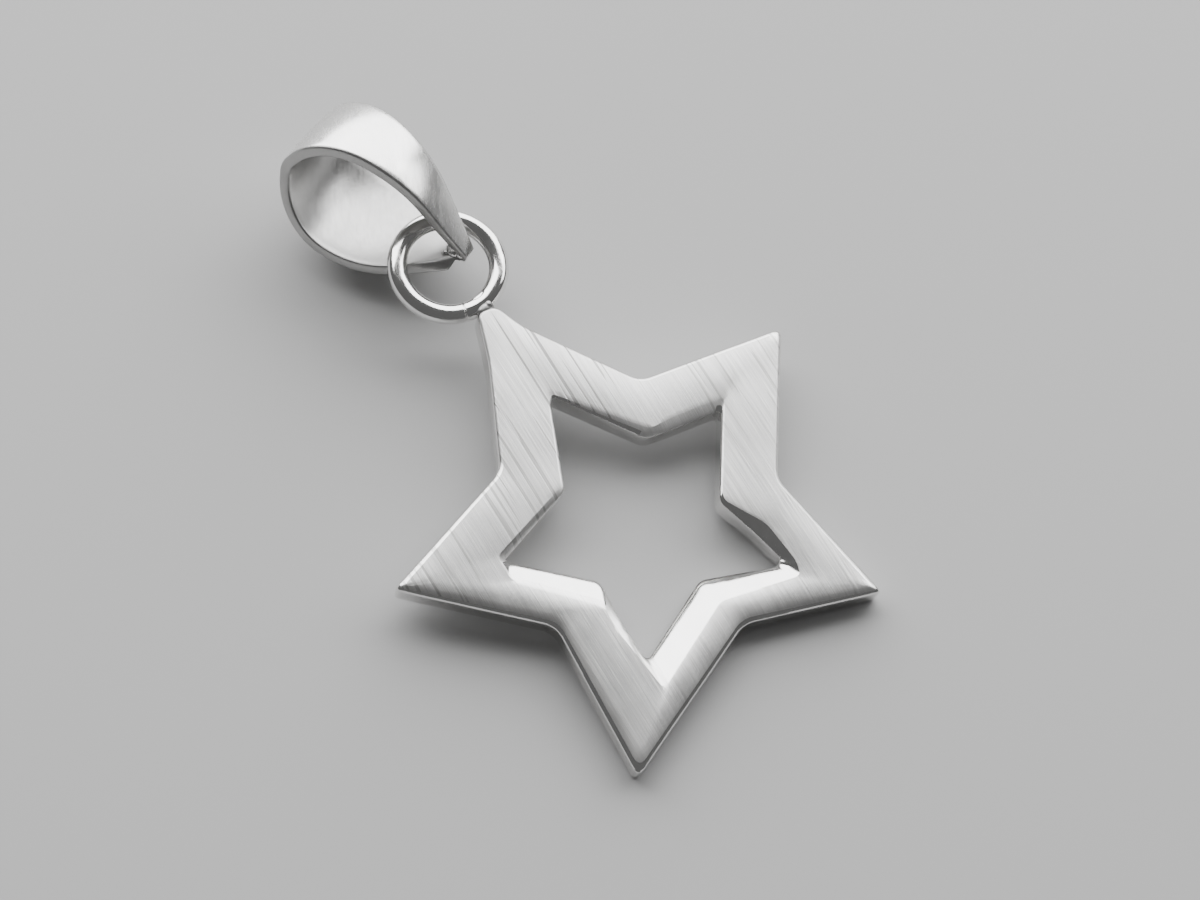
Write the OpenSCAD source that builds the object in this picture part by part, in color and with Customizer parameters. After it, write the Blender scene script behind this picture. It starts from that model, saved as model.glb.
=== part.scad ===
// Star pendant: an open five-point star with a soldered wire ring and a folded leaf bail.
// Millimetres, +Z up. The pendant lies as it rests: on its two lower points and on the
// bail under the ring, which lifts the ring end a little. +Y runs from the star to the bail.

/* [Star] */
// Mean reach of the five points from the centre
star_reach = 10.68; // [8:0.02:16]
// Height of the plain outer wall under its rounded shoulder
outer_wall = 0.94; // [0.6:0.02:1.5]
// Height of the rounded outer shoulder
outer_shoulder = 0.3; // [0.1:0.02:0.5]
// How much of its full drop the top rolls down to the wall round the opening
roll_depth = 1; // [0.2:0.05:1.4]
// Rise of the gently domed top between the shoulder and the opening
dome_rise = 0.03; // [0:0.01:0.15]
// Length along each outer edge that is taken up by the softened corner
tip_soft = 0.5; // [0.1:0.05:0.6]
// Length along each edge round the opening that is taken up by the softened corner
corner_soft = 0.3; // [0.1:0.05:0.5]

/* [Ring] */
// Mean radius of the soldered ring
ring_radius = 2.12; // [1.9:0.02:2.6]
// Thickness of the ring's wire
wire = 0.84; // [0.6:0.02:0.9]
// Height of the ring's centre line over the star's back
ring_height = 0.76; // [0.6:0.02:0.9]
// Width of the solder between the point and the ring
solder_width = 0.8; // [0.6:0.05:1.1]

/* [Bail] */
// Length of the folded leaf from tip to fold, along its middle line
bail_length = 8.22; // [7.8:0.02:9]
// Depth of the loop between the middle lines of the two leaves
bail_depth = 5.62; // [5.4:0.02:5.9]
// Thickness of the sheet
sheet = 0.5; // [0.4:0.02:0.56]
// Reach of the upper leaf to each side at three fifths of its length
upper_side = 1.36; // [1.3:0.02:1.5]
// Reach of the lower leaf to the side under the ring end at three fifths of its length
lower_near_side = 2.24; // [1.6:0.02:2.4]
// Reach of the lower leaf to its other side at three fifths of its length
lower_far_side = 2.86; // [2:0.02:3.2]
// Reach of the sheet at the fold, to the near side
fold_near_side = 1.66; // [1.4:0.02:1.8]
// Reach of the sheet at the fold, to the far side
fold_far_side = 1.96; // [1.6:0.02:2.06]
// Width of each leaf at its tip
tip_width = 0.54; // [0.4:0.02:0.8]
// How much shorter the lower leaf ends at the tip
lower_short = 0.36; // [0:0.02:0.4]
// Depth of the solder that fills the narrow corner between the leaves, from the tip
tip_fill = 1; // [0.6:0.05:1.2]
// Radius of the bow across each leaf at its fullest
bow_radius = 7.2; // [6:0.1:14]

/* [Rest] */
// Lean of the star as it rests, ring end up
rest_lean = 5; // [4.5:0.1:5.5]

/* [Hidden] */

silver = [0.80, 0.80, 0.81];
polished = [0.88, 0.88, 0.89];
far = 12;
mesh_round = 96;

// Corners of the plate clockwise from the top point, and a few places between them. Each has
// a reach from the centre and a turn from +Y for the outer wall, for the crease where the
// flat top ends and for the wall round the opening, the width of the outer shoulder, and the
// drop of the top from the crease to the wall. The plate is cut and filed by hand, so no two
// corners are quite alike.
OUT_R = 0;
OUT_TURN = 1;
SHOULDER = 2;
CREASE_R = 3;
CREASE_TURN = 4;
IN_R = 5;
IN_TURN = 6;
DROP = 7;
corners = [
    [10.86, 358.1, 0.15, 6.19,   0.9, 6.06,   0.9, 0.05],
    [10.65,   2.8, 0.15, 5.92,   2.9, 5.78,   2.6, 0.06],
    [ 9.37,   5.5, 0.15, 5.52,   6.2, 5.37,   5.5, 0.08],
    [ 5.87,  37.2, 0.18, 3.74,  43.9, 3.33,  41.5, 0.22],
    [ 7.17,  54.7, 0.18, 4.47,  53.9, 3.95,  56.0, 0.19],
    [10.46,  72.3, 0.20, 6.37,  70.8, 5.82,  72.8, 0.14],
    [ 6.04, 109.3, 0.20, 3.48, 113.9, 3.33, 115.1, 0.10],
    [ 7.68, 129.0, 0.22, 5.20, 128.9, 4.60, 131.9, 0.28],
    [10.42, 142.9, 0.28, 6.61, 141.9, 5.99, 141.9, 0.30],
    [ 9.71, 145.4, 0.36, 6.96, 146.5, 5.97, 144.8, 0.58],
    [ 6.11, 173.1, 0.46, 4.80, 174.4, 3.56, 172.1, 0.82],
    [10.89, 217.7, 0.46, 7.35, 210.0, 6.01, 213.7, 0.74],
    [ 8.06, 229.8, 0.42, 5.16, 226.9, 4.89, 224.3, 0.22],
    [ 5.93, 252.4, 0.40, 4.24, 238.6, 3.19, 246.8, 0.58],
    [ 9.82, 284.5, 0.34, 6.06, 276.9, 5.64, 284.4, 0.48],
    [10.61, 287.3, 0.24, 6.21, 287.6, 5.91, 286.1, 0.38],
    [ 6.01, 322.6, 0.20, 3.43, 324.6, 3.22, 323.2, 0.12],
    [ 8.89, 351.8, 0.15, 5.98, 357.4, 5.94, 358.2, 0.07]
];
corner_count = len(corners);
grow = star_reach / 10.68;
corner_steps = 3;
shoulder_end = 70;
shoulder_steps = 4;
dome_steps = 4;
roll_steps = 5;
break_share = 0.25;
break_height = 0.07;
top_z = outer_wall + outer_shoulder * sin(shoulder_end);

ring_y = 10.71 * grow + ring_radius + wire / 2;

// The plate's foot, the bail's tip and the bail's three turns, in the star's own frame
foot_y = 8.44 * grow;
bail_tip = [0.99, ring_y - 0.09, 0.68];
bail_turn = [18.6, -2.8, 109.9];
centre_shift = [0.08, -14.83, 0];

// Outline of the loop from the side, along the middle line of the sheet
tip_angle = 37.1;
loop_r = bail_depth / 2;
loop_x = bail_length - loop_r;
side_r = (loop_x * sin(tip_angle) - loop_r * cos(tip_angle)) / (1 - cos(tip_angle));
axis_drop = bow_radius - loop_r;
middle_x = 0.6 * bail_length;

function unit(v) = v / norm(v);
function at(r, turn) = grow * r * [sin(turn), cos(turn)];
function outer_corner(i) = at(corners[i][OUT_R], corners[i][OUT_TURN]);
function crease_corner(i) = at(corners[i][CREASE_R], corners[i][CREASE_TURN]);
function inner_corner(i) = at(corners[i][IN_R], corners[i][IN_TURN]);
function before(i) = (i + corner_count - 1) % corner_count;
function after(i) = (i + 1) % corner_count;

// Direction into the metal from the outer wall that runs from a to b
function inward(a, b) =
    let (d = unit(b - a))
    [d[1], -d[0]];
// Outer corner i moved into the metal by the width of the shoulder
function shoulder_corner(i) =
    let (o = outer_corner(i),
         m = inward(outer_corner(before(i)), o),
         n = inward(o, outer_corner(after(i))))
    o + grow * corners[i][SHOULDER] * (m + n) / (1 + m * n);

// A corner o between its neighbours a and b, softened; t runs from 0 to 1 round it
function softened(a, o, b, most, t) =
    let (soft = min(most, 0.4 * norm(a - o), 0.4 * norm(b - o)))
    (1 - t) * (1 - t) * (o + soft * unit(a - o))
    + 2 * t * (1 - t) * o
    + t * t * (o + soft * unit(b - o));

// The four lines that the plate's section hangs on, at the place t round corner i
function section_lines(i, t) =
    let (h = before(i), j = after(i))
    [softened(outer_corner(h), outer_corner(i), outer_corner(j), tip_soft, t),
     softened(shoulder_corner(h), shoulder_corner(i), shoulder_corner(j), tip_soft, t),
     softened(crease_corner(h), crease_corner(i), crease_corner(j), corner_soft, t),
     softened(inner_corner(h), inner_corner(i), inner_corner(j), corner_soft, t)];

// Section of the plate: which line a point follows, its share of the way to the next line,
// its height and its share of the corner's drop
LINE = 0;
SHARE = 1;
HEIGHT = 2;
DROP_SHARE = 3;
section = concat(
    [[0, break_share, 0, 0],
     [0, 0, break_height, 0]],
    [for (k = [0:shoulder_steps])
        let (a = shoulder_end * k / shoulder_steps)
        [0, (1 - cos(a)) / (1 - cos(shoulder_end)), outer_wall + outer_shoulder * sin(a), 0]],
    [for (k = [1:dome_steps])
        let (t = k / dome_steps)
        [1, t, top_z + 4 * dome_rise * t * (1 - t), 0]],
    [for (k = [1:roll_steps])
        let (t = sin(90 * k / roll_steps))
        [2, t, top_z, roll_depth * (0.5 * t + 0.5 * (1 - sqrt(1 - t * t)))]],
    [[2, 1, 0, 0]]
);

// Moves from the star's own frame to the pendant as it rests, centred on the origin
module rest() {
    translate(centre_shift)
        rotate([rest_lean, 0, 0])
            translate([0, foot_y, 0])
                children();
}

module plate() {
    n = len(section);
    stations = corner_count * (corner_steps + 1);
    points = [
        for (i = [0:corner_count - 1], k = [0:corner_steps])
            let (lines = section_lines(i, k / corner_steps))
            for (p = section)
                let (a = lines[p[LINE]], b = lines[p[LINE] + 1])
                concat(a + (b - a) * p[SHARE],
                       p[HEIGHT] - corners[i][DROP] * p[DROP_SHARE])
    ];
    faces = [
        for (j = [0:stations - 1], m = [0:n - 1])
            let (j2 = (j + 1) % stations, m2 = (m + 1) % n)
            each [[j * n + m, j2 * n + m, j2 * n + m2],
                  [j * n + m, j2 * n + m2, j * n + m2]]
    ];
    polyhedron(points, faces);
}

module ring() {
    translate([0, ring_y, ring_height])
        rotate_extrude($fn = mesh_round)
            translate([ring_radius, 0])
                circle(d = wire, $fn = 48);
}

module solder() {
    translate([0.1 * grow, 10.3 * grow, ring_height - 0.06])
        rotate([-90, 0, 0])
            cylinder(h = 0.8, d1 = solder_width * 1.1, d2 = solder_width * 0.8, $fn = 48);
}

module star_with_ring() {
    color(silver)
        rest()
            union() {
                plate();
                ring();
                solder();
            }
}

// Half of the loop's outline on one side of its axis, grown by g
module half_loop(g) {
    touch_x = loop_x - (side_r + g) * sin(tip_angle);
    touch_y = loop_r - side_r + (side_r + g) * cos(tip_angle);
    polygon([[-g / sin(tip_angle), 0], [touch_x, touch_y], [touch_x, 0]]);
    intersection() {
        translate([loop_x, loop_r - side_r])
            circle(r = side_r + g, $fn = mesh_round * 2);
        translate([touch_x, 0])
            square([loop_x - touch_x, far]);
    }
    intersection() {
        translate([loop_x, 0])
            circle(r = loop_r + g, $fn = mesh_round * 2);
        translate([loop_x, 0])
            square([far, far]);
    }
}

// One leaf of the loop before its sides are cut, turned about an axis behind it so that it
// is bowed across
module bowed_leaf() {
    intersection() {
        translate([0, 0, -axis_drop])
            rotate([0, 90, 0])
                rotate_extrude($fn = mesh_round * 2)
                    translate([axis_drop, 0])
                        rotate([0, 0, 90])
                            mirror([0, 1])
                                difference() {
                                    half_loop(sheet / 2);
                                    half_loop(-sheet / 2);
                                }
        translate([-2, -far / 2, 0])
            cube([far + 2, far, far]);
    }
}

// Centre and radius of the circle through three points
function circle_through(a, b, c) =
    let (d = 2 * (a[0] * (b[1] - c[1]) + b[0] * (c[1] - a[1]) + c[0] * (a[1] - b[1])),
         x = (a * a * (b[1] - c[1]) + b * b * (c[1] - a[1]) + c * c * (a[1] - b[1])) / d,
         y = (a * a * (c[0] - b[0]) + b * b * (a[0] - c[0]) + c * c * (b[0] - a[0])) / d)
    [x, y, norm(a - [x, y])];

// Disc whose rim bounds one side of a leaf: up = 1 for the near side, -1 for the far side
module side_disc(up, middle_side, fold_side) {
    side = circle_through([0, up * tip_width / 2], [middle_x, up * middle_side],
                          [bail_length, up * fold_side]);
    translate([side[0], side[1]])
        circle(r = side[2], $fn = mesh_round * 4);
}

// Flat outline of one leaf: a bowed side each way from its blunt end to the fold
module leaf_outline(near_side, far_side, start) {
    intersection() {
        side_disc(1, near_side, fold_near_side);
        side_disc(-1, far_side, fold_far_side);
        translate([start, -far / 2])
            square([bail_length + 3, far]);
    }
}

module tip_solder() {
    side = tip_fill * tan(tip_angle);
    rotate([90, 0, 0])
        linear_extrude(tip_width * 0.9, center = true)
            polygon([[0, 0], [tip_fill, -side], [tip_fill * 0.9, 0], [tip_fill, side]]);
}

module bail() {
    color(polished)
        rest()
            translate(bail_tip)
                rotate(bail_turn) {
                    tip_solder();
                    intersection() {
                        union() {
                            bowed_leaf();
                            mirror([0, 0, 1])
                                bowed_leaf();
                        }
                        union() {
                            linear_extrude(far)
                                leaf_outline(upper_side, upper_side, 0);
                            translate([0, 0, -far])
                                linear_extrude(far)
                                    leaf_outline(lower_near_side, lower_far_side, lower_short);
                        }
                    }
                }
}

star_with_ring();
bail();
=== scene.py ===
"""The star pendant's looks: brushed plate, polished shoulders, soldered ring and folded leaf bail."""

import math

import bpy
import numpy as np
from mathutils import Matrix, Vector, noise


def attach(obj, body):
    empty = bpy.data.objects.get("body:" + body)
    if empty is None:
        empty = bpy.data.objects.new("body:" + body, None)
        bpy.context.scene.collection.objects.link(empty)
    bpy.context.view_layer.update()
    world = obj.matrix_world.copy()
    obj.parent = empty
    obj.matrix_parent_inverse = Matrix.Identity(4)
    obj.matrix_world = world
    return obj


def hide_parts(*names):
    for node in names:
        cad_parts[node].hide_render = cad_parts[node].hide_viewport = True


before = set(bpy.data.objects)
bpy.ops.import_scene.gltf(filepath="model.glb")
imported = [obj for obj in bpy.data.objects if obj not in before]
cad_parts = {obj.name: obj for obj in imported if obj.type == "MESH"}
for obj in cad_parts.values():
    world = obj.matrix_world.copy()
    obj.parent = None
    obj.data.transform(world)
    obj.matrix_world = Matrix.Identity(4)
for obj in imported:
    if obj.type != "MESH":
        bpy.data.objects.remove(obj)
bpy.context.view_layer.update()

# Sizes and places are in millimetres and degrees, and in the star's own frame until REST
# lays them down as the pendant rests
MM = 0.001
SILVER = (0.86, 0.855, 0.845)

# The plate's corners clockwise from the top point, and a few places between them: reach and
# turn from +Y of the outer wall, width of its shoulder, reach and turn of the crease where
# the flat top ends and of the wall round the opening, and the drop between the last two
OUT_R, OUT_TURN, SHOULDER, CREASE_R, CREASE_TURN, IN_R, IN_TURN, DROP = range(8)
CORNERS = [
    (10.86, 358.1, 0.15, 6.19, 0.9, 6.06, 0.9, 0.05),
    (10.65, 2.8, 0.15, 5.92, 2.9, 5.78, 2.6, 0.06),
    (9.37, 5.5, 0.15, 5.52, 6.2, 5.37, 5.5, 0.08),
    (5.87, 37.2, 0.18, 3.74, 43.9, 3.33, 41.5, 0.22),
    (7.17, 54.7, 0.18, 4.47, 53.9, 3.95, 56.0, 0.19),
    (10.46, 72.3, 0.2, 6.37, 70.8, 5.82, 72.8, 0.14),
    (6.04, 109.3, 0.2, 3.48, 113.9, 3.33, 115.1, 0.1),
    (7.68, 129.0, 0.22, 5.2, 128.9, 4.6, 131.9, 0.28),
    (10.42, 142.9, 0.28, 6.61, 141.9, 5.99, 141.9, 0.3),
    (9.71, 145.4, 0.36, 6.96, 146.5, 5.97, 144.8, 0.58),
    (6.11, 173.1, 0.46, 4.8, 174.4, 3.56, 172.1, 0.82),
    (10.89, 217.7, 0.46, 7.35, 210.0, 6.01, 213.7, 0.74),
    (8.06, 229.8, 0.42, 5.16, 226.9, 4.89, 224.3, 0.22),
    (5.93, 252.4, 0.4, 4.24, 238.6, 3.19, 246.8, 0.58),
    (9.82, 284.5, 0.34, 6.06, 276.9, 5.64, 284.4, 0.48),
    (10.61, 287.3, 0.24, 6.21, 287.6, 5.91, 286.1, 0.38),
    (6.01, 322.6, 0.2, 3.43, 324.6, 3.22, 323.2, 0.12),
    (8.89, 351.8, 0.15, 5.98, 357.4, 5.94, 358.2, 0.07),
]
# Share of the way over the roll, from the crease, that is still brushed, after each corner
ROLL_SATIN = [0, 0, 0.5, 1, 1, 0.5, 0, 0, 0, 0, 0, 1, 1, 0.2, 0.2, 1, 1, 1]
# Length along each edge that the softened corners take up, outside and round the opening
TIP_SOFT, CORNER_SOFT = 0.5, 0.3
# Height of the outer wall and of its rounded shoulder, and the angle where the shoulder ends
OUTER_WALL, OUTER_SHOULDER, SHOULDER_END = 0.94, 0.3, 70
DOME_RISE = 0.03
# The plate's lower outer edge is broken: share of the shoulder's width, and height
BREAK_SHARE, BREAK_HEIGHT = 0.25, 0.07
# Steps round each softened corner and along each edge
CORNER_STEPS, EDGE_STEPS = 8, 16
# Steps over the outer shoulder, the domed top and the roll, and the shoulder's polished ones
SHOULDER_STEPS, DOME_STEPS, ROLL_STEPS, SHOULDER_POLISHED = 8, 12, 14, 4
# Hand filing makes the plate swell slowly: most rise, features per millimetre, and the
# height over the back from which it has its whole rise
SWELL_RISE, SWELL_SCALE, SWELL_FULL = 0.015, 0.45, 0.8
# Turn of the brush strokes against the star's length
BRUSH_TURN = 5
# The deep cuts among them fade along the pendant: from place and share, to place and share
CUTS_FROM, CUTS_TO = (-8, 0.12), (2, 1.0)

RING_Y, RING_Z = 13.25, 0.76
RING_RADIUS, WIRE = 2.12, 0.84
# Angle of the seam round the ring, its depth, and its width in degrees
SEAM, SEAM_DEPTH, SEAM_WIDTH = 252.0, 0.07, 0.7
# Angles of the nick round the ring and round the wire, its depth, and its spread along both
NICK, NICK_DEPTH, NICK_SPREAD = (276, 125), 0.05, (6, 5)
# How far the ring is out of round, and how far its wire is
RING_WOBBLE, WIRE_WOBBLE = 0.012, 0.008

BAIL_TIP = (0.99, 13.16, 0.68)
BAIL_TURN = (18.6, -2.8, 109.9)
BAIL_LENGTH, BAIL_DEPTH, SHEET, TIP_WIDTH, LOWER_SHORT = 8.22, 5.62, 0.5, 0.54, 0.36
# Reach of the upper leaf, the lower leaf and the fold to the near and the far side
UPPER_SIDES, LOWER_SIDES, FOLD_SIDES = (1.36, 1.36), (2.24, 2.86), (1.66, 1.96)
# Share of the length where the leaves' sides are measured, and radius of the sheet's rim
MIDDLE_SHARE, RIM = 0.6, 0.1
BOW_RADIUS, TIP_ANGLE = 7.2, math.radians(37.1)
# Height over the loop's axis from which a leaf has its whole bow
FULL_BOW_HEIGHT = 0.9
# Points along one side of the sheet's section
SHEET_STEPS = 15

REST_LEAN, FOOT_Y = 5, 8.44
CENTRE_SHIFT = (0.08, -14.83, 0)

# Edge of the voxels that fuse the solder's lumps
SOLDER_VOXEL = 0.028

# Half the side of the floor in metres, and its grey
FLOOR_REACH, FLOOR_GREY = 1.2, (0.42, 0.42, 0.42, 1)
ROOM_GREY, ROOM_STRENGTH = (0.5, 0.5, 0.5, 1), 0.25
# The camera's place and turn to the resting pendant, fitted to the photo
CAMERA_PLACE = (-37.38, -35.52, 114.15)
CAMERA_TURN = (23.323, -5.27, -37.566)

REST = (
    Matrix.Scale(MM, 4)
    @ Matrix.Translation(CENTRE_SHIFT)
    @ Matrix.Rotation(math.radians(REST_LEAN), 4, "X")
    @ Matrix.Translation((0, FOOT_Y, 0))
)


def turn(degrees):
    """Rotation by the three angles about X, then Y, then Z."""
    x, y, z = (math.radians(d) for d in degrees)
    return (
        Matrix.Rotation(z, 4, "Z")
        @ Matrix.Rotation(y, 4, "Y")
        @ Matrix.Rotation(x, 4, "X")
    )


BAIL_PLACE = REST @ Matrix.Translation(BAIL_TIP) @ turn(BAIL_TURN)


# Meshes


def add_mesh(name, points, faces, matrix, sharp=None):
    """A smooth mesh piece, placed by the matrix, creased where it bends by more than sharp."""
    mesh = bpy.data.meshes.new(name)
    mesh.from_pydata([matrix @ Vector(p) for p in points], [], faces)
    mesh.update()
    mesh.polygons.foreach_set("use_smooth", [True] * len(mesh.polygons))
    if sharp:
        mesh.set_sharp_from_angle(angle=math.radians(sharp))
    piece = bpy.data.objects.new(name, mesh)
    bpy.context.scene.collection.objects.link(piece)
    return piece


def grid_faces(rows, columns, close_rows=True, close_columns=True):
    """Quads over a grid of points, row after row, closed both ways where asked."""
    faces = []
    for i in range(rows if close_rows else rows - 1):
        for j in range(columns if close_columns else columns - 1):
            i2, j2 = (i + 1) % rows, (j + 1) % columns
            faces.append(
                (i * columns + j, i2 * columns + j, i2 * columns + j2, i * columns + j2)
            )
    return faces


def at(reach, degrees):
    """A place in the plate's plane, by its reach from the centre and its turn from +Y."""
    a = math.radians(degrees)
    return Vector((reach * math.sin(a), reach * math.cos(a)))


def moved_in(points, widths):
    """The clockwise outline's corners, each moved into the metal by its width."""
    moved = []
    for i, here in enumerate(points):
        normals = []
        for a, b in ((points[i - 1], here), (here, points[(i + 1) % len(points)])):
            d = (b - a).normalized()
            normals.append(Vector((d.y, -d.x)))
        m, n = normals
        moved.append(here + widths[i] * (m + n) / (1 + m.dot(n)))
    return moved


def softened(points, most, steps_corner, steps_edge):
    """The closed outline through the corners, each softened, with points along each edge."""
    line, soft = [], []
    count = len(points)
    for i, here in enumerate(points):
        near = min((points[i - 1] - here).length, (points[(i + 1) % count] - here).length)
        soft.append(min(most, 0.4 * near))
    for i, here in enumerate(points):
        following = points[(i + 1) % count]
        before = here + (points[i - 1] - here).normalized() * soft[i]
        after = here + (following - here).normalized() * soft[i]
        for k in range(steps_corner + 1):
            t = k / steps_corner
            line.append((1 - t) ** 2 * before + 2 * t * (1 - t) * here + t**2 * after)
        end = following + (here - following).normalized() * soft[(i + 1) % count]
        for k in range(1, steps_edge):
            line.append(after.lerp(end, k / steps_edge))
    return line


def plate_section():
    """Points round the section: line it hangs on, share to the next, height, drop, finish."""
    end = math.radians(SHOULDER_END)
    top = OUTER_WALL + OUTER_SHOULDER * math.sin(end)
    section = [(0, BREAK_SHARE, 0, 0, "wall"), (0, 0, BREAK_HEIGHT, 0, "wall")]
    section += [(0, 0, OUTER_WALL * k / 4, 0, "wall") for k in (1, 2, 3)]
    for k in range(SHOULDER_STEPS + 1):
        a = end * k / SHOULDER_STEPS
        share = (1 - math.cos(a)) / (1 - math.cos(end))
        finish = "top" if k > SHOULDER_POLISHED else "wall"
        section.append((0, share, OUTER_WALL + OUTER_SHOULDER * math.sin(a), 0, finish))
    for k in range(1, DOME_STEPS + 1):
        t = k / DOME_STEPS
        finish = "top" if k < DOME_STEPS else "roll"
        section.append((1, t, top + 4 * DOME_RISE * t * (1 - t), 0, finish))
    for k in range(1, ROLL_STEPS + 1):
        t = math.sin(math.pi / 2 * k / ROLL_STEPS)
        drop = 0.5 * t + 0.5 * (1 - math.sqrt(1 - t * t))
        section.append((2, t, top, drop, "roll" if k < ROLL_STEPS else "wall"))
    section += [(2, 1, 0.6, 0, "wall"), (2, 1, 0.3, 0, "wall"), (2, 1, 0, 0, "back")]
    return section


def make_plate():
    """The star's plate, and for each face whether it is brushed (0), polished (1) or back (2)."""
    steps = (CORNER_STEPS, EDGE_STEPS)
    outer = [at(c[OUT_R], c[OUT_TURN]) for c in CORNERS]
    shoulder = moved_in(outer, [c[SHOULDER] for c in CORNERS])
    crease = [at(c[CREASE_R], c[CREASE_TURN]) for c in CORNERS]
    inner = [at(c[IN_R], c[IN_TURN]) for c in CORNERS]
    lines = [
        softened(outer, TIP_SOFT, *steps),
        softened(shoulder, TIP_SOFT, *steps),
        softened(crease, CORNER_SOFT, *steps),
        softened(inner, CORNER_SOFT, *steps),
    ]
    section = plate_section()
    per_corner = sum(steps)
    points = []
    for n in range(len(lines[0])):
        i, k = divmod(n, per_corner)
        along = max(0, k - CORNER_STEPS) / EDGE_STEPS
        following = CORNERS[(i + 1) % len(CORNERS)]
        drop_here = CORNERS[i][DROP] * (1 - along) + following[DROP] * along
        for line, share, height, drop, _ in section:
            p = lines[line][n].lerp(lines[line + 1][n], share)
            swell = noise.noise(Vector((p.x * SWELL_SCALE, p.y * SWELL_SCALE, 3.1 + height)))
            lift = SWELL_RISE * swell * min(1, height / SWELL_FULL)
            points.append((p.x, p.y, height - drop_here * drop + lift))
    columns = len(section)
    faces = grid_faces(len(lines[0]), columns)
    plate = add_mesh("star_plate", points, faces, REST, sharp=14)
    finish = []
    for n in range(len(faces)):
        line, share, _, _, kind = section[n % columns]
        if kind == "roll":
            over_roll = share if line == 2 else 0
            kind = "top" if over_roll < ROLL_SATIN[n // columns // per_corner] else "wall"
        finish.append({"top": 0, "wall": 1, "back": 2}[kind])
    return plate, finish


def make_ring():
    """The wire ring, with the fine seam where its ends meet and a short nick beside it."""
    across, around = 96, 160
    angles = [360 / around * i for i in range(around)]
    angles = sorted(angles + [SEAM + 0.3 * i + 0.1 for i in range(-6, 7)])
    points = []
    for degrees in angles:
        a = math.radians(degrees)
        wobble = RING_WOBBLE * noise.noise(Vector((1.3 * math.cos(a), 1.3 * math.sin(a), 7.7)))
        seam = SEAM_DEPTH * math.exp(-(((degrees - SEAM) / SEAM_WIDTH) ** 2))
        nick_here = NICK_DEPTH * math.exp(-(((degrees - NICK[0]) / NICK_SPREAD[0]) ** 4))
        for j in range(across):
            b = 2 * math.pi * j / across
            nick = nick_here * math.exp(-(((math.degrees(b) - NICK[1]) / NICK_SPREAD[1]) ** 2))
            place = Vector((2.2 * math.cos(a), 2.2 * math.sin(a), 1.5 * math.cos(b)))
            r = WIRE / 2 - seam - nick + WIRE_WOBBLE * noise.noise(place)
            reach = RING_RADIUS + wobble + r * math.cos(b)
            points.append(
                (reach * math.cos(a), RING_Y + reach * math.sin(a), RING_Z + r * math.sin(b))
            )
    return add_mesh("soldered_ring", points, grid_faces(len(angles), across), REST)


def blob(name, balls, rounds, matrix):
    """One lump fused from overlapping egg shapes (centre, radii), smoothed a few rounds."""
    points, faces = [], []
    rows, columns = 18, 28
    for centre, radii in balls:
        first = len(points)
        for i in range(rows):
            tilt = math.pi * (i + 0.5) / rows
            for j in range(columns):
                a = 2 * math.pi * j / columns
                points.append(
                    (
                        centre[0] + radii[0] * math.sin(tilt) * math.cos(a),
                        centre[1] + radii[1] * math.sin(tilt) * math.sin(a),
                        centre[2] + radii[2] * math.cos(tilt),
                    )
                )
        for f in grid_faces(rows, columns, close_rows=False):
            faces.append(tuple(first + n for n in f))
        faces.append(tuple(first + n for n in range(columns)))
        last = first + (rows - 1) * columns
        faces.append(tuple(last + n for n in reversed(range(columns))))
    lump = add_mesh(name, points, faces, Matrix.Identity(4))
    remesh = lump.modifiers.new("fuse", "REMESH")
    remesh.mode = "VOXEL"
    remesh.voxel_size = SOLDER_VOXEL
    smooth = lump.modifiers.new("soften", "SMOOTH")
    smooth.iterations = rounds
    smooth.factor = 0.5
    depsgraph = bpy.context.evaluated_depsgraph_get()
    made = bpy.data.meshes.new_from_object(lump.evaluated_get(depsgraph))
    lump.modifiers.clear()
    lump.data = made
    made.transform(matrix)
    made.polygons.foreach_set("use_smooth", [True] * len(made.polygons))
    return lump


def make_solder():
    """Solder between the star's top point and the ring, run up over the wire."""
    z = RING_Z
    balls = [
        ((0.1, 10.55, z - 0.02), (0.42, 0.4, 0.4)),
        ((0.08, 10.84, z + 0.04), (0.4, 0.2, 0.34)),
        ((0.34, 10.8, z + 0.1), (0.2, 0.16, 0.3)),
        ((-0.16, 10.86, z + 0.08), (0.18, 0.16, 0.28)),
        ((0.12, 10.93, z + 0.16), (0.16, 0.1, 0.2)),
        ((0.08, 10.83, z + 0.31), (0.32, 0.19, 0.13)),
        ((0.3, 10.88, z + 0.32), (0.15, 0.15, 0.14)),
        ((-0.14, 10.86, z + 0.28), (0.13, 0.1, 0.1)),
    ]
    return blob("solder_joint", balls, 3, REST)


def make_tip_solder():
    """Rough solder in the corner between the leaves, with a bead where it ran out."""
    balls = [
        ((0.42, 0, 0), (0.44, 0.27, 0.3)),
        ((0.72, 0.02, 0.0), (0.3, 0.3, 0.42)),
        ((0.3, 0.24, 0.06), (0.18, 0.12, 0.15)),
        ((0.6, 0.28, -0.1), (0.2, 0.12, 0.18)),
        ((0.9, 0.26, -0.34), (0.16, 0.14, 0.12)),
        ((0.08, 0.08, -0.06), (0.1, 0.16, 0.2)),
        ((0.3, 0.02, -0.24), (0.18, 0.22, 0.16)),
    ]
    return blob("tip_solder", balls, 2, BAIL_PLACE)


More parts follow.
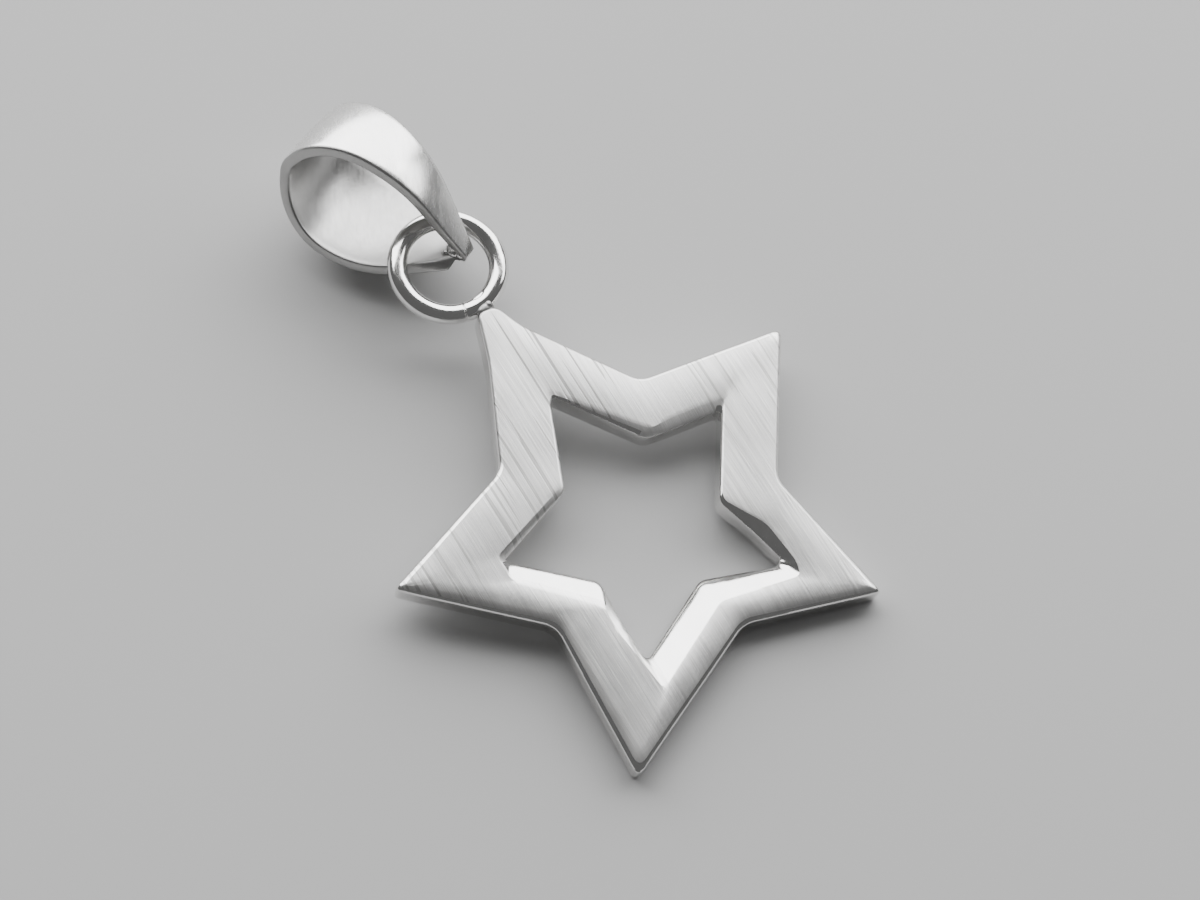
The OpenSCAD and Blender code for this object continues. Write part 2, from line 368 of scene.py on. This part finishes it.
def loop_outline(grow, steps):
    """Half of the loop from the tip over one leaf to the fold, grown by an amount.

    The steps are those of its straight start, its long side and its round end.
    """
    end_r = BAIL_DEPTH / 2
    end_x = BAIL_LENGTH - end_r
    side_r = (end_x * math.sin(TIP_ANGLE) - end_r * math.cos(TIP_ANGLE)) / (
        1 - math.cos(TIP_ANGLE)
    )
    r = side_r + grow

    def on_side(a):
        return (end_x - r * math.sin(a), end_r - side_r + r * math.cos(a))

    touch = on_side(TIP_ANGLE)
    tip_x = -grow / math.sin(TIP_ANGLE)
    line = [
        (tip_x + (touch[0] - tip_x) * k / steps[0], touch[1] * k / steps[0])
        for k in range(steps[0])
    ]
    line += [on_side(TIP_ANGLE * (1 - k / steps[1])) for k in range(steps[1])]
    for k in range(steps[2] + 1):
        a = math.pi / 2 * k / steps[2]
        line.append((end_x + (end_r + grow) * math.sin(a), (end_r + grow) * math.cos(a)))
    return line


def side_reach(x, middle, fold):
    """A leaf's reach to one side at the distance x from the tip, on a circle through three places."""
    x1, y1 = 0.0, TIP_WIDTH / 2
    x2, y2 = MIDDLE_SHARE * BAIL_LENGTH, middle
    x3, y3 = BAIL_LENGTH, fold
    d = 2 * (x1 * (y2 - y3) + x2 * (y3 - y1) + x3 * (y1 - y2))
    a, b, c = (p * p + q * q for p, q in ((x1, y1), (x2, y2), (x3, y3)))
    cx = (a * (y2 - y3) + b * (y3 - y1) + c * (y1 - y2)) / d
    cy = (a * (x3 - x2) + b * (x1 - x3) + c * (x2 - x1)) / d
    return cy + math.sqrt((x1 - cx) ** 2 + (y1 - cy) ** 2 - (x - cx) ** 2)


def sheet_section(steps):
    """Points round the sheet's section: share of the half width, reach beyond it, side."""
    corners = [math.radians(a) for a in (0, 30, 60, 90)]
    section = []
    for side in (1, -1):
        section += [(side * share, 0.0, side) for share in np.linspace(-1, 1, steps)]
        for end in (side, -side):
            order = corners[1:] if end == side else corners[:0:-1]
            section += [
                (side, side * RIM * math.sin(a), end * (1 - 2 * RIM / SHEET * (1 - math.cos(a))))
                for a in order
            ]
    return section


def make_bail():
    """Both leaves in one sweep, each bowed across, and 1 for each face of the inside or rim."""
    steps = (14, 34, 30)
    middle = loop_outline(0, steps)
    axis_drop = BOW_RADIUS - BAIL_DEPTH / 2
    columns = []
    for share, beyond, side in sheet_section(SHEET_STEPS):
        line = loop_outline(side * SHEET / 2, steps)
        leaves = []
        far = int(share < 0)
        for sides, start in ((UPPER_SIDES, 0), (LOWER_SIDES, LOWER_SHORT)):
            leaf = []
            for (x, height), (mid_x, _) in zip(line, middle):
                v = share * (side_reach(mid_x, sides[far], FOLD_SIDES[far]) - RIM) + beyond
                reach = height + axis_drop
                drop = reach - math.sqrt(reach**2 - v**2)
                t = min(max(height / FULL_BOW_HEIGHT, 0), 1)
                leaf.append((max(x, start), v, height - drop * t * t * (3 - 2 * t)))
            leaves.append(leaf)
        upper, lower = leaves
        columns.append(upper + [(x, v, -z) for x, v, z in reversed(lower[1:-1])])
    points = [column[i] for i in range(len(columns[0])) for column in columns]
    count = len(columns)
    faces = [tuple(reversed(f)) for f in grid_faces(len(columns[0]), count)]
    leaf = add_mesh("leaf_bail", points, faces, BAIL_PLACE, sharp=40)
    return leaf, [int(n % count >= SHEET_STEPS - 1) for n in range(len(faces))]


# Materials


def new_material(name):
    """A metal with its nodes, its links and its shader."""
    material = bpy.data.materials.new(name)
    material.use_nodes = True
    nodes, links = material.node_tree.nodes, material.node_tree.links
    shader = nodes["Principled BSDF"]
    shader.inputs["Metallic"].default_value = 1.0
    return material, nodes, links, shader


def silver(share):
    """The metal's colour, darkened to a share."""
    return tuple(c * share for c in SILVER)


def ramp(nodes, stops):
    """A colour ramp between two stops, each a place and a colour or a plain value."""
    node = nodes.new("ShaderNodeValToRGB")
    for element, (place, value) in zip(node.color_ramp.elements, stops):
        element.position = place
        colour = (value, value, value) if isinstance(value, (int, float)) else value
        element.color = (*colour, 1)
    return node


def stretched_noise(nodes, links, scale, detail, rough=0.5, turn_z=0.0):
    """Noise in object space, with its own scale along each axis in features per millimetre."""
    place = nodes.new("ShaderNodeTexCoord")
    turned = nodes.new("ShaderNodeMapping")
    turned.inputs["Rotation"].default_value = (0, 0, math.radians(turn_z))
    mapping = nodes.new("ShaderNodeMapping")
    mapping.inputs["Scale"].default_value = tuple(s / MM for s in scale)
    links.new(place.outputs["Object"], turned.inputs["Vector"])
    links.new(turned.outputs["Vector"], mapping.inputs["Vector"])
    texture = nodes.new("ShaderNodeTexNoise")
    texture.inputs["Scale"].default_value = 1.0
    texture.inputs["Detail"].default_value = detail
    texture.inputs["Roughness"].default_value = rough
    links.new(mapping.outputs["Vector"], texture.inputs["Vector"])
    return texture


def towards_ring(nodes, links):
    """How much of the deep cuts shows: little on the lower arms, all of it under the ring."""
    place = nodes.new("ShaderNodeTexCoord")
    split = nodes.new("ShaderNodeSeparateXYZ")
    links.new(place.outputs["Object"], split.inputs["Vector"])
    rise = nodes.new("ShaderNodeMapRange")
    rise.inputs["From Min"].default_value = CUTS_FROM[0] * MM
    rise.inputs["From Max"].default_value = CUTS_TO[0] * MM
    rise.inputs["To Min"].default_value = CUTS_FROM[1]
    rise.inputs["To Max"].default_value = CUTS_TO[1]
    links.new(split.outputs["Y"], rise.inputs["Value"])
    return rise.outputs["Result"]


def multiply(nodes, links, a, b):
    """The product of two colours."""
    node = nodes.new("ShaderNodeMix")
    node.data_type = "RGBA"
    node.blend_type = "MULTIPLY"
    node.inputs["Factor"].default_value = 1.0
    links.new(a, node.inputs["A"])
    links.new(b, node.inputs["B"])
    return node.outputs["Result"]


def add_bump(nodes, links, shader, layers):
    """Stacks bump layers (height output, depth in millimetres) on the shader's normal."""
    normal = None
    for height, depth in layers:
        bump = nodes.new("ShaderNodeBump")
        bump.inputs["Strength"].default_value = 1.0
        bump.inputs["Distance"].default_value = depth * MM
        links.new(height, bump.inputs["Height"])
        if normal:
            links.new(normal, bump.inputs["Normal"])
        normal = bump.outputs["Normal"]
    links.new(normal, shader.inputs["Normal"])


def brushed_silver():
    """Satin silver with brush strokes along the star, and deeper cuts towards the ring."""
    material, nodes, links, shader = new_material("brushed_silver")
    fine = stretched_noise(nodes, links, (22, 0.5, 1), 3, 0.6, BRUSH_TURN)
    coarse = stretched_noise(nodes, links, (5.5, 0.2, 0.3), 2, 0.5, BRUSH_TURN)
    cuts = stretched_noise(nodes, links, (8.0, 0.13, 0.2), 0, 0.4, BRUSH_TURN)
    cloud = stretched_noise(nodes, links, (0.35, 0.3, 0.3), 2, 0.5)
    tone = ramp(nodes, [(0.30, silver(0.9)), (0.62, SILVER)])
    links.new(coarse.outputs["Fac"], tone.inputs["Fac"])
    # Only the lowest valleys of the stretched noise are cuts
    line = ramp(nodes, [(0.300, 0.4), (0.322, 1.0)])
    links.new(cuts.outputs["Fac"], line.inputs["Fac"])
    deep = nodes.new("ShaderNodeMix")
    deep.data_type = "RGBA"
    deep.inputs["A"].default_value = (1, 1, 1, 1)
    links.new(line.outputs["Color"], deep.inputs["B"])
    links.new(towards_ring(nodes, links), deep.inputs["Factor"])
    links.new(
        multiply(nodes, links, tone.outputs["Color"], deep.outputs["Result"]),
        shader.inputs["Base Color"],
    )
    rough = ramp(nodes, [(0.30, 0.28), (0.70, 0.40)])
    links.new(cloud.outputs["Fac"], rough.inputs["Fac"])
    links.new(rough.outputs["Color"], shader.inputs["Roughness"])
    add_bump(
        nodes,
        links,
        shader,
        [(fine.outputs["Fac"], 0.006), (coarse.outputs["Fac"], 0.007), (deep.outputs["Result"], 0.004)],
    )
    return material


def polished_silver(name, rough_low, rough_high, bump_depth, tint=1.0):
    """Polished or cast silver, with its two roughnesses, waviness in millimetres and tint."""
    material, nodes, links, shader = new_material(name)
    cloud = stretched_noise(nodes, links, (1.2, 1.2, 1.2), 3, 0.6)
    scratch = stretched_noise(nodes, links, (9, 1.1, 4), 3, 0.6, 30)
    tone = ramp(nodes, [(0.35, silver(tint * 0.93)), (0.65, silver(tint))])
    links.new(cloud.outputs["Fac"], tone.inputs["Fac"])
    links.new(tone.outputs["Color"], shader.inputs["Base Color"])
    rough = ramp(nodes, [(0.35, rough_low), (0.70, rough_high)])
    links.new(scratch.outputs["Fac"], rough.inputs["Fac"])
    links.new(rough.outputs["Color"], shader.inputs["Roughness"])
    add_bump(nodes, links, shader, [(cloud.outputs["Fac"], bump_depth)])
    return material


def back_silver():
    """The hidden back, plainly sanded."""
    material, nodes, links, shader = new_material("sanded_back")
    grain = stretched_noise(nodes, links, (14, 1.2, 6), 4, 0.65)
    tone = ramp(nodes, [(0.3, silver(0.82)), (0.7, SILVER)])
    links.new(grain.outputs["Fac"], tone.inputs["Fac"])
    links.new(tone.outputs["Color"], shader.inputs["Base Color"])
    rough = ramp(nodes, [(0.3, 0.34), (0.7, 0.5)])
    links.new(grain.outputs["Fac"], rough.inputs["Fac"])
    links.new(rough.outputs["Color"], shader.inputs["Roughness"])
    add_bump(nodes, links, shader, [(grain.outputs["Fac"], 0.01)])
    return material


# Pieces

plate, plate_finish = make_plate()
for material in (
    brushed_silver(),
    polished_silver("polished_edges", 0.10, 0.20, 0.006),
    back_silver(),
):
    plate.data.materials.append(material)
plate.data.polygons.foreach_set("material_index", plate_finish)

ring = make_ring()
ring.data.materials.append(polished_silver("polished_wire", 0.09, 0.17, 0.006))
solder = make_solder()
solder.data.materials.append(polished_silver("solder_silver", 0.34, 0.6, 0.08, 0.42))
bail, inside_faces = make_bail()
for material in (
    polished_silver("polished_leaf", 0.22, 0.30, 0.004),
    # Painted shade: the inside and the rims of the bail are darkened to 0.55 of the silver, standing in
    # for the shadow and the dark reflections in the hollow; the higher roughness is the inside's satin
    # finish
    polished_silver("satin_inside_painted_shade", 0.32, 0.42, 0.012, 0.55),
):
    bail.data.materials.append(material)
bail.data.polygons.foreach_set("material_index", inside_faces)
tip_solder = make_tip_solder()
tip_solder.data.materials.append(polished_silver("tip_solder_silver", 0.16, 0.4, 0.05, 0.8))

for piece in (plate, ring, solder):
    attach(piece, "root")
    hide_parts("star_with_ring")
for piece in (bail, tip_solder):
    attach(piece, "root")
    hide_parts("bail")

# Floor, light and camera

floor_mesh = bpy.data.meshes.new("floor")
sides = ((-1, -1), (1, -1), (1, 1), (-1, 1))
floor_mesh.from_pydata([(FLOOR_REACH * x, FLOOR_REACH * y, 0) for x, y in sides], [], [(0, 1, 2, 3)])
floor = bpy.data.objects.new("floor", floor_mesh)
bpy.context.scene.collection.objects.link(floor)
paper = bpy.data.materials.new("pale_paper")
paper.use_nodes = True
paper_shader = paper.node_tree.nodes["Principled BSDF"]
paper_shader.inputs["Base Color"].default_value = FLOOR_GREY
paper_shader.inputs["Roughness"].default_value = 0.9
floor_mesh.materials.append(paper)

world = bpy.data.worlds.new("studio")
world.use_nodes = True
room = world.node_tree.nodes["Background"]
room.inputs["Color"].default_value = ROOM_GREY
room.inputs["Strength"].default_value = ROOM_STRENGTH
bpy.context.scene.world = world


def soft_light(name, azimuth, elevation, distance, size, watts):
    """A soft light that faces the pendant, in metres. Azimuth runs from +X towards +Y."""
    a, e = math.radians(azimuth), math.radians(elevation)
    data = bpy.data.lights.new(name, "AREA")
    data.shape = "RECTANGLE"
    data.size, data.size_y = size
    data.energy = watts
    lamp = bpy.data.objects.new(name, data)
    lamp.location = distance * Vector(
        (math.cos(a) * math.cos(e), math.sin(a) * math.cos(e), math.sin(e))
    )
    lamp.rotation_euler = (-lamp.location).to_track_quat("-Z", "Y").to_euler()
    bpy.context.scene.collection.objects.link(lamp)


soft_light("window", 58, 37, 0.26, (0.58, 0.32), 3.5)
soft_light("side", -14, 30, 0.30, (0.12, 0.10), 0.18)

camera_data = bpy.data.cameras.new("camera")
camera_data.sensor_width = 36
camera_data.lens = 90
camera_data.clip_start, camera_data.clip_end = 0.005, 10
camera = bpy.data.objects.new("camera", camera_data)
camera.location = Vector(CAMERA_PLACE) * MM
camera.rotation_euler = tuple(math.radians(d) for d in CAMERA_TURN)
bpy.context.scene.collection.objects.link(camera)
bpy.context.scene.camera = camera
